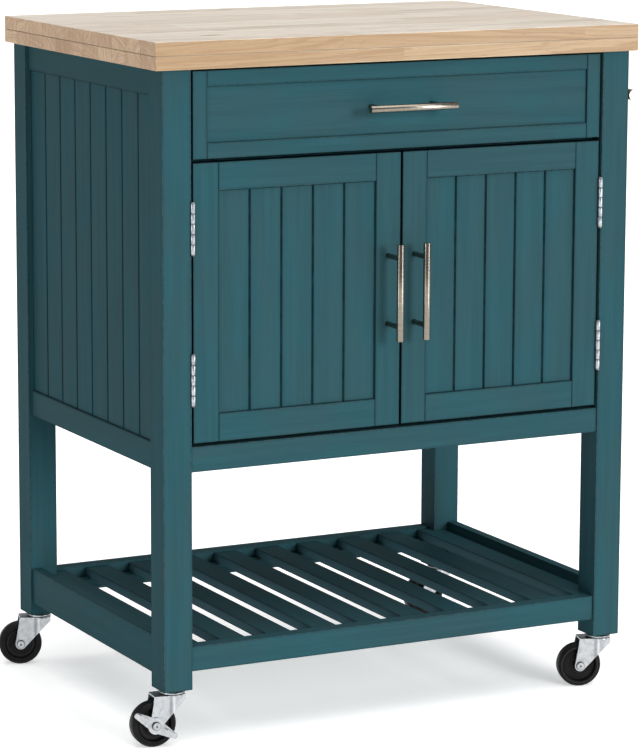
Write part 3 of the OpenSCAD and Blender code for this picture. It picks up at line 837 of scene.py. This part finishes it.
SHEET_PIECES = ["left_door_strike", "right_door_strike", "door_catches", "shelf_pins",
                "slide_channels", "slide_runners"]
dull_zinc = zinc_sheet("zinc_dull", 8.0)
for node in SHEET_PIECES:
    finish_node(node, dull_zinc, SHEET_EASED)
print(len(SHEET_PIECES), "nodes in dull zinc")

# %% [markdown]
# ## Hinge barrels
#
# A butt hinge's barrel is five knuckles on one pin. The joints between them are painted dark, as
# painted shade, which is what makes a hinge look like a string of beads from a few steps away.
# The joints repeat up the barrel, so a remainder finds the nearest one.

# %% Hinges
KNUCKLE = 13.2 * MM
KNUCKLES = 5
# Nearly black, for painted shade in gaps and round rivets.
SHADE_BLACK = (0.030, 0.030, 0.030)


def hinge_zinc(name, seed):
    low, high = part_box("hinge_leg_leaves")
    upper_start = high.z - KNUCKLES * KNUCKLE
    coat = Finish(name)
    upper = coat.z > (low.z + high.z) / 2
    rise = (coat.z - low.z - upper * (upper_start - low.z)) % KNUCKLE
    joint = rise.least(KNUCKLE - rise).fade(0.3 * MM, 1.5 * MM)
    cloud = coat.noise([160] * 3, 3.0, seed)
    colour = coat.mix(cloud.fade(0.62, 0.38), ZINC, ZINC_DULL)
    # Painted shade in the joints between the knuckles.
    colour = coat.mix(joint * (0.25 + cloud * 0.45), colour, SHADE_BLACK)
    coat.wear("Base Color", colour)
    coat.wear("Metallic", 1.0)
    coat.wear("Roughness", 0.24 + cloud * 0.20)
    coat.wear("Normal", coat.bump(cloud - joint * 0.8, 0.15 * MM))
    return coat.material


HINGE_NODES = ["hinge_leg_leaves", "left_door_hinge_leaves", "right_door_hinge_leaves",
               "hinge_pins"]
for order, node in enumerate(HINGE_NODES):
    finish_node(node, hinge_zinc("zinc_" + node, 2.0 + 5 * order), SHEET_EASED)
print(len(HINGE_NODES), "hinge nodes, with", KNUCKLES, "knuckles to a barrel")

# %% [markdown]
# ## Casters
#
# Each caster is turned its own way, so its patterns need its own directions. The swivel
# and the wheel joint in the record give them: the hub, the swivel axis, and the way from
# one to the other. A point's place along that way and above the hub then serves for
# creases in the fork, the ring round the rivet and the moulding rings of the wheel.

# %% A caster's own directions
CORNERS = ("front_left", "front_right", "back_left", "back_right")
BRAKED = ("front_left", "back_right")
joints = {joint["name"]: joint for joint in frame["joints"]}


class Caster:
    """Where one caster's hub and swivel are, and which way it points."""

    def __init__(self, corner):
        self.corner = corner
        self.hub = Vector(joints[corner + "_wheel_spin"]["pos_m"])
        self.swivel = Vector(joints[corner + "_swivel"]["pos_m"])
        self.ahead = self.swivel - self.hub
        self.ahead.z = 0
        self.trail = self.ahead.length
        self.ahead.normalize()
        self.aside = Vector((-self.ahead.y, self.ahead.x, 0))

    def from_hub(self, coat):
        """A point's distances ahead of the hub and above it, and from the axle."""
        ahead = (coat.x - self.hub.x) * self.ahead.x + (coat.y - self.hub.y) * self.ahead.y
        up = coat.z - self.hub.z
        return ahead, up, (ahead * ahead + up * up).root()

    def place(self, ahead, aside, height):
        """A point of the caster, ahead of and beside its swivel axis."""
        point = self.swivel + self.ahead * ahead + self.aside * aside
        point.z = height
        return point


casters = {corner: Caster(corner) for corner in CORNERS}
print("casters point", {c: round(math.degrees(math.atan2(k.ahead.y, k.ahead.x)), 1)
                        for c, k in casters.items()})

# %% [markdown]
# ## Forks, axles and brake levers
#
# The fork is pressed from one sheet: flat at the back, with a soft crease where the sheet starts
# to turn round the swivel's nose. The axle is riveted over, so its head has a dimple. Colour and
# a shallow bump draw the crease and the dimple; the colour adds painted shade at the crease with
# a painted glint beside it, and painted shade in the dimple and in a ring round the rivet.

# %% Caster metal
# Colours for painted shade at the fork's crease, plain zinc, and a painted glint.
ZINC_SHADE = (0.12, 0.135, 0.150)
ZINC_CLEAN = (0.53, 0.545, 0.56)
PAINTED_GLINT = (0.85, 0.86, 0.88)
CREASE_AHEAD = -6 * MM
GLINT_AHEAD = 4.5 * MM
RIVET_R = 5.5 * MM
FORK_EASED = 0.5 * MM
AXLE_EASED = 0.8 * MM


def caster_zinc(name, caster, seed, crease=0.0):
    """Dusty zinc, with painted shade round the rivet; crease is 1 for a fork's fold, with its
    painted shade and glint, and 0 for pieces without one.
    """
    coat = Finish(name)
    ahead, _, radius = caster.from_hub(coat)
    cloud = coat.noise([120] * 3, 4.0, seed)
    grit = coat.noise([700] * 3, 2.0, seed + 6)
    from_crease = ahead - (caster.trail + CREASE_AHEAD)
    fold = abs(from_crease).fade(0.0, 3.5 * MM) * crease
    glint = abs(from_crease - GLINT_AHEAD).fade(0.0, 2.5 * MM) * crease
    dimple = radius.fade(0.9 * MM, 2.0 * MM)
    rivet_edge = abs(radius - RIVET_R).fade(0.1 * MM, 0.9 * MM)
    colour = coat.mix(cloud.fade(0.70, 0.40) * 0.6, ZINC_CLEAN, ZINC_DULL)
    colour = coat.mix(grit.fade(0.7, 0.5) * 0.18, colour, ZINC_DULL)
    # Painted shade at the crease, a painted glint beside it, and painted shade in the dimple and
    # round the rivet.
    colour = coat.mix(fold * 0.55, colour, ZINC_SHADE)
    colour = coat.mix(glint * 0.5, colour, PAINTED_GLINT)
    colour = coat.mix(dimple.most(rivet_edge) * 0.8, colour, SHADE_BLACK)
    coat.wear("Base Color", colour)
    coat.wear("Metallic", 1.0)
    coat.wear("Roughness", 0.20 + cloud * 0.12 + grit * 0.06)
    coat.wear("Normal", coat.bump(grit * 0.2 + cloud * 0.3 - fold * 0.5 - dimple, 0.25 * MM))
    return coat.material


for order, (corner, caster) in enumerate(casters.items()):
    seed = 4.0 * order
    fork = caster_zinc("zinc_fork_" + corner, caster, seed, 1.0)
    finish_node(corner + "_fork", fork, FORK_EASED)
    axle = caster_zinc("zinc_axle_" + corner, caster, seed + 2)
    finish_node(corner + "_axle", axle, AXLE_EASED, 3)
    if corner in BRAKED:
        lever = caster_zinc("zinc_lever_" + corner, caster, seed + 3)
        finish_node(corner + "_brake", lever, FORK_EASED)
print(len(casters), "forks and axles and", len(BRAKED), "brake levers in zinc")

# %% [markdown]
# ## Stems and their caps
#
# The stem's cap stays with the leg while the fork turns under it, and the gap between them is
# painted dark, as painted shade.

# %% Stems
CAP_GAP = 1.5 * MM
STEM_EASED = 0.4 * MM


def stem_zinc():
    skirt = casters["front_left"].swivel.z
    coat = Finish("zinc_stems")
    cloud = coat.noise([120] * 3, 4.0, 31.0)
    gap = abs(coat.z - skirt).fade(CAP_GAP * 0.6, CAP_GAP * 1.3)
    colour = coat.mix(cloud.fade(0.62, 0.38), ZINC, ZINC_DULL)
    # Painted shade in the gap between the cap and the fork.
    coat.wear("Base Color", coat.mix(gap * 0.95, colour, SHADE_BLACK))
    coat.wear("Metallic", 1.0)
    coat.wear("Roughness", 0.18 + cloud * 0.18)
    coat.wear("Normal", coat.bump(cloud, 0.03 * MM))
    return coat.material


finish_node("caster_stems", stem_zinc(), STEM_EASED)
print("stems finished, shadowed gap", CAP_GAP, "m")

# %% [markdown]
# ## The fork's rolled lip
#
# The sheet's edge is rolled into a lip round the fork's nose, under the cap. A short
# tube swept along that edge makes the lip, one for each caster, and it turns with its
# fork. The sweep puts a ring of corners round every point of the path and joins each
# ring to the next.

# %% Rolled lips
LIP_R = 1.3 * MM
LIP_SIDES = 10
NOSE_R = 15.4 * MM
NOSE_STEPS = 18
NOSE_DEG = 200


def sweep(name, points, radius, sides):
    """A tube along points that lie level, with closed ends."""
    form = bmesh.new()
    rings = []
    for number, point in enumerate(points):
        before, after = points[max(number - 1, 0)], points[min(number + 1, len(points) - 1)]
        aside = (after - before).normalized().cross(Vector((0, 0, 1)))
        ring = []
        for step in range(sides):
            turn = 2 * math.pi * step / sides
            offset = aside * math.cos(turn) + Vector((0, 0, 1)) * math.sin(turn)
            ring.append(form.verts.new(point + offset * radius))
        rings.append(ring)
    for first, second in zip(rings, rings[1:]):
        for step in range(sides):
            after = (step + 1) % sides
            form.faces.new((first[step], first[after], second[after], second[step]))
    form.faces.new(rings[0])
    form.faces.new(rings[-1][::-1])
    bmesh.ops.recalc_face_normals(form, faces=form.faces)
    for face in form.faces:
        face.smooth = len(face.verts) == 4
    mesh = bpy.data.meshes.new(name)
    form.to_mesh(mesh)
    form.free()
    piece = bpy.data.objects.new(name, mesh)
    bpy.context.scene.collection.objects.link(piece)
    return piece


for corner, caster in casters.items():
    height = caster.swivel.z - LIP_R
    path = []
    for step in range(NOSE_STEPS + 1):
        turn = math.radians(-NOSE_DEG / 2 + NOSE_DEG * step / NOSE_STEPS)
        path.append(caster.place(NOSE_R * math.cos(turn), NOSE_R * math.sin(turn), height))
    lip = sweep(corner + "_fork_lip", path, LIP_R, LIP_SIDES)
    lip.data.materials.append(nodes[corner + "_fork"].data.materials[0])
    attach(lip, corner + "_caster")
print(len(casters), "rolled lips of", len(lip.data.vertices), "corners each")

# %% [markdown]
# ## Black wheels
#
# The wheels are moulded in a hard black plastic. The mould was turned on a lathe, so the faces
# carry fine rings, and dust greys the plastic a little in soft clouds.

# %% Black plastic
BLACK = (0.0030, 0.0030, 0.0034)
DUST = (0.011, 0.011, 0.0105)
SCUFF = (0.036, 0.036, 0.035)
MOULD_RINGS = 420
WHEEL_EASED = 0.5 * MM


def black_plastic(name, caster, seed):
    coat = Finish(name)
    radius = caster.from_hub(coat)[2]
    cloud = coat.noise([70] * 3, 4.0, seed)
    fine = coat.noise([900] * 3, 2.0, seed + 4)
    turned = coat.node("TexNoise", {"noise_dimensions": "1D"},
                       {"W": radius * MOULD_RINGS + seed, "Scale": 1.0, "Detail": 2.0}, "Fac")
    colour = coat.mix(cloud.fade(0.75, 0.40) * 0.5, BLACK, DUST)
    colour = coat.mix(turned.fade(0.64, 0.54) * 0.45, colour, SCUFF)
    coat.wear("Base Color", colour)
    coat.wear("Roughness", 0.30 + cloud * 0.20)
    coat.wear("Specular IOR Level", 0.12)
    coat.wear("Normal", coat.bump(turned + fine * 0.15, 0.25 * MM))
    return coat.material


for order, (corner, caster) in enumerate(casters.items()):
    plastic = black_plastic("black_" + corner, caster, 3.0 * order)
    finish_node(corner + "_wheel", plastic, WHEEL_EASED)
print(len(casters), "wheels in black plastic")

# %% [markdown]
# ## Floor and surround
#
# The cart stands on a plain white sweep that is lit from below as well as from above,
# as a catalogue table is, so the shadows on it stay faint and light reaches the slats
# from underneath.

# %% Floor and surround
FLOOR_GLOW = 0.43
FLOOR_HALF = 40
WORLD = 0.30
WHITE = (1.0, 1.0, 1.0)


def pale_floor():
    mesh = bpy.data.meshes.new("floor")
    form = bmesh.new()
    bmesh.ops.create_grid(form, x_segments=24, y_segments=24, size=FLOOR_HALF)
    form.to_mesh(mesh)
    form.free()
    floor = bpy.data.objects.new("floor", mesh)
    bpy.context.scene.collection.objects.link(floor)
    coat = Finish("pale_floor")
    cloud = coat.noise([0.8] * 3, 2.0)
    coat.wear("Base Color", coat.mix(cloud * 0.5, (0.90, 0.90, 0.90), (0.87, 0.87, 0.87)))
    coat.wear("Roughness", 0.75 + cloud * 0.1)
    coat.wear("Specular IOR Level", 0.1)
    coat.wear("Emission Color", WHITE)
    coat.wear("Emission Strength", FLOOR_GLOW)
    mesh.materials.append(coat.material)


pale_floor()
surround = bpy.data.worlds.new("studio")
surround.use_nodes = True
background = surround.node_tree.nodes["Background"]
background.inputs["Color"].default_value = (*WHITE, 1)
background.inputs["Strength"].default_value = WORLD
bpy.context.scene.world = surround
print("floor", 2 * FLOOR_HALF, "m wide, glowing", FLOOR_GLOW, "under a surround of", WORLD)

# %% [markdown]
# ## Studio lights
#
# One broad light hangs overhead. A front wall of light, low down, shines in under the
# cabinet, and a weaker one does the same from behind. Neither wall is mirrored, or it
# would glare in the flat tops of the slats. Two tall strips do the opposite: only
# polished metal mirrors them, and they give the pulls their long thin highlights.

# %% Studio lights
STRIP_TALL = 2.6
STRIP_AWAY = 2.6


def broad_light(name, power, height_deg, turn_deg, spread_deg, mirrored=True):
    """A broad, distant light, as even as a wall or ceiling of soft boxes."""
    data = bpy.data.lights.new(name, "SUN")
    data.energy = power * math.pi
    data.angle = math.radians(spread_deg)
    lamp = bpy.data.objects.new(name, data)
    lamp.rotation_euler = (math.radians(90 - height_deg), 0, math.radians(turn_deg))
    lamp.visible_glossy = mirrored
    bpy.context.scene.collection.objects.link(lamp)


def strip_light(name, turn_deg, width, glow):
    """A tall narrow light that only polished metal mirrors, as a long thin line."""
    data = bpy.data.lights.new(name, "AREA")
    data.shape = "RECTANGLE"
    data.size, data.size_y = width, STRIP_TALL
    data.energy = glow * width * STRIP_TALL * math.pi
    lamp = bpy.data.objects.new(name, data)
    turn = math.radians(turn_deg)
    lamp.location = (cart_x + STRIP_AWAY * math.sin(turn),
                     cart_y - STRIP_AWAY * math.cos(turn), STRIP_TALL / 2)
    lamp.rotation_euler = (math.radians(90), 0, turn)
    lamp.visible_camera = False
    lamp.visible_diffuse = False
    lamp.visible_shadow = False
    bpy.context.scene.collection.objects.link(lamp)


strip_light("left_strip", turn_deg=-80, width=0.6, glow=4.0)
strip_light("right_strip", turn_deg=35, width=0.5, glow=9.0)
broad_light("ceiling", 0.70, height_deg=76, turn_deg=10, spread_deg=70)
broad_light("front_wall", 0.765, height_deg=11, turn_deg=14, spread_deg=20, mirrored=False)
broad_light("back_wall", 0.24, height_deg=14, turn_deg=184, spread_deg=36, mirrored=False)
bpy.context.scene.view_settings.view_transform = "Standard"
print(len(bpy.data.lights), "lights")

# %% [markdown]
# ## Camera
#
# The camera stands to the front left of the cart, a little above the worktop, and
# looks slightly down. Its lens is long, so the uprights stay nearly parallel.

# %% Camera
SENSOR = 36.0
FOCAL = 160.48
CAMERA_LEFT = 2.0826
CAMERA_AHEAD = 4.0358
CAMERA_HIGH = 1.2544
LOOK_DOWN_DEG = 9.795
ROLL_DEG = -0.073
TURN_DEG = -26.512
SHIFT = (0.0643, -0.0441)
FAR_LIMIT = 200
data = bpy.data.cameras.new("camera")
data.sensor_width = SENSOR
data.lens = FOCAL
data.shift_x, data.shift_y = SHIFT
data.clip_end = FAR_LIMIT
camera = bpy.data.objects.new("camera", data)
camera.location = (cart_x - CAMERA_LEFT, cart_y - CAMERA_AHEAD, CAMERA_HIGH)
camera.rotation_euler = [math.radians(deg) for deg in (90 - LOOK_DOWN_DEG, ROLL_DEG, TURN_DEG)]
bpy.context.scene.collection.objects.link(camera)
bpy.context.scene.camera = camera
print("camera at", tuple(round(v, 3) for v in camera.location))
